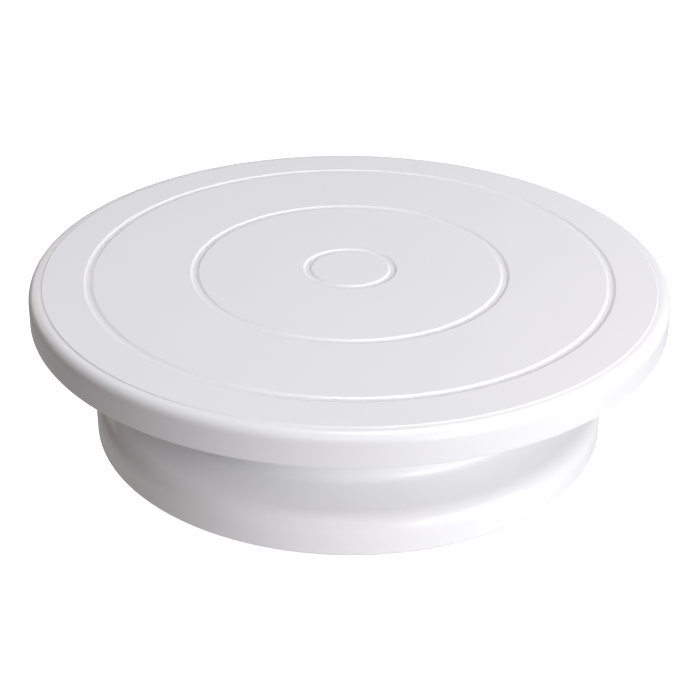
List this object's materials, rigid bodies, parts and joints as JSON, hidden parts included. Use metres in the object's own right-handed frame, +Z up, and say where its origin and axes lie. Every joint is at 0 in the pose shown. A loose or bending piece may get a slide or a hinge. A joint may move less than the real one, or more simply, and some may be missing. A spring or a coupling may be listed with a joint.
{
  "type": "cake turntable",
  "caption": "Round cake-decorating lazy susan: a plastic plate with lining-up rings and a skirt, spinning on a ball bearing over a waisted base with rubber pads.",
  "frame": {"origin": "on the table under the centre of the plate, on the spindle's axis", "axes": "+Z up along the spindle's axis; +X through the first ball and the first rubber pad"},
  "size_m": [0.28, 0.28, 0.073],
  "materials": {
    "white_plastic": "semi-gloss moulded polypropylene, white",
    "bearing_steel": "hardened and ground, lightly greased",
    "plated_steel": "bright zinc plate",
    "nylon": "natural nylon, off-white",
    "acetal": "black acetal, satin",
    "grey_rubber": "soft grey thermoplastic rubber, matt"
  },
  "bodies": {
    "base": {"base_shell": "white_plastic", "lower_race": "bearing_steel", "upper_bush": "acetal", "lower_bush": "acetal", "screw_cover": "white_plastic", "rubber_pad_1": "grey_rubber", "rubber_pad_2": "grey_rubber", "rubber_pad_3": "grey_rubber", "rubber_pad_4": "grey_rubber", "rubber_pad_5": "grey_rubber", "rubber_pad_6": "grey_rubber"},
    "turntable": {"turntable_plate": "white_plastic", "upper_race": "bearing_steel", "spindle": "plated_steel", "plain_washer": "plated_steel", "spring_washer": "plated_steel", "retaining_screw": "plated_steel"},
    "ball_cage": {"ball_cage": "nylon"},
    "ball_01": {"ball_01": "bearing_steel"},
    "ball_02": {"ball_02": "bearing_steel"},
    "ball_03": {"ball_03": "bearing_steel"},
    "ball_04": {"ball_04": "bearing_steel"},
    "ball_05": {"ball_05": "bearing_steel"},
    "ball_06": {"ball_06": "bearing_steel"},
    "ball_07": {"ball_07": "bearing_steel"},
    "ball_08": {"ball_08": "bearing_steel"},
    "ball_09": {"ball_09": "bearing_steel"},
    "ball_10": {"ball_10": "bearing_steel"},
    "ball_11": {"ball_11": "bearing_steel"},
    "ball_12": {"ball_12": "bearing_steel"}
  },
  "joints": [
    {"name": "turntable_spin", "type": "hinge", "parent": "base", "child": "turntable", "pos_m": [0, 0, 0.0615], "axis": [0, 0, 1], "continuous": true},
    {"name": "cage_orbit", "type": "hinge", "parent": "base", "child": "ball_cage", "pos_m": [0, 0, 0.0615], "axis": [0, 0, 1], "continuous": true},
    {"name": "ball_01_roll", "type": "hinge", "parent": "ball_cage", "child": "ball_01", "pos_m": [0.034, 0, 0.0615], "axis": [1, 0, 0], "continuous": true},
    {"name": "ball_02_roll", "type": "hinge", "parent": "ball_cage", "child": "ball_02", "pos_m": [0.02944, 0.017, 0.0615], "axis": [0.866, 0.5, 0], "continuous": true},
    {"name": "ball_03_roll", "type": "hinge", "parent": "ball_cage", "child": "ball_03", "pos_m": [0.017, 0.02944, 0.0615], "axis": [0.5, 0.866, 0], "continuous": true},
    {"name": "ball_04_roll", "type": "hinge", "parent": "ball_cage", "child": "ball_04", "pos_m": [0, 0.034, 0.0615], "axis": [0, 1, 0], "continuous": true},
    {"name": "ball_05_roll", "type": "hinge", "parent": "ball_cage", "child": "ball_05", "pos_m": [-0.017, 0.02944, 0.0615], "axis": [-0.5, 0.866, 0], "continuous": true},
    {"name": "ball_06_roll", "type": "hinge", "parent": "ball_cage", "child": "ball_06", "pos_m": [-0.02944, 0.017, 0.0615], "axis": [-0.866, 0.5, 0], "continuous": true},
    {"name": "ball_07_roll", "type": "hinge", "parent": "ball_cage", "child": "ball_07", "pos_m": [-0.034, 0, 0.0615], "axis": [-1, 0, 0], "continuous": true},
    {"name": "ball_08_roll", "type": "hinge", "parent": "ball_cage", "child": "ball_08", "pos_m": [-0.02944, -0.017, 0.0615], "axis": [-0.866, -0.5, 0], "continuous": true},
    {"name": "ball_09_roll", "type": "hinge", "parent": "ball_cage", "child": "ball_09", "pos_m": [-0.017, -0.02944, 0.0615], "axis": [-0.5, -0.866, 0], "continuous": true},
    {"name": "ball_10_roll", "type": "hinge", "parent": "ball_cage", "child": "ball_10", "pos_m": [0, -0.034, 0.0615], "axis": [0, -1, 0], "continuous": true},
    {"name": "ball_11_roll", "type": "hinge", "parent": "ball_cage", "child": "ball_11", "pos_m": [0.017, -0.02944, 0.0615], "axis": [0.5, -0.866, 0], "continuous": true},
    {"name": "ball_12_roll", "type": "hinge", "parent": "ball_cage", "child": "ball_12", "pos_m": [0.02944, -0.017, 0.0615], "axis": [0.866, -0.5, 0], "continuous": true}
  ],
  "couplings": [
    {"joint": "cage_orbit", "follows": "turntable_spin", "ratio": 0.5},
    {"joint": "ball_01_roll", "follows": "turntable_spin", "ratio": -5.6667},
    {"joint": "ball_02_roll", "follows": "turntable_spin", "ratio": -5.6667},
    {"joint": "ball_03_roll", "follows": "turntable_spin", "ratio": -5.6667},
    {"joint": "ball_04_roll", "follows": "turntable_spin", "ratio": -5.6667},
    {"joint": "ball_05_roll", "follows": "turntable_spin", "ratio": -5.6667},
    {"joint": "ball_06_roll", "follows": "turntable_spin", "ratio": -5.6667},
    {"joint": "ball_07_roll", "follows": "turntable_spin", "ratio": -5.6667},
    {"joint": "ball_08_roll", "follows": "turntable_spin", "ratio": -5.6667},
    {"joint": "ball_09_roll", "follows": "turntable_spin", "ratio": -5.6667},
    {"joint": "ball_10_roll", "follows": "turntable_spin", "ratio": -5.6667},
    {"joint": "ball_11_roll", "follows": "turntable_spin", "ratio": -5.6667},
    {"joint": "ball_12_roll", "follows": "turntable_spin", "ratio": -5.6667}
  ]
}
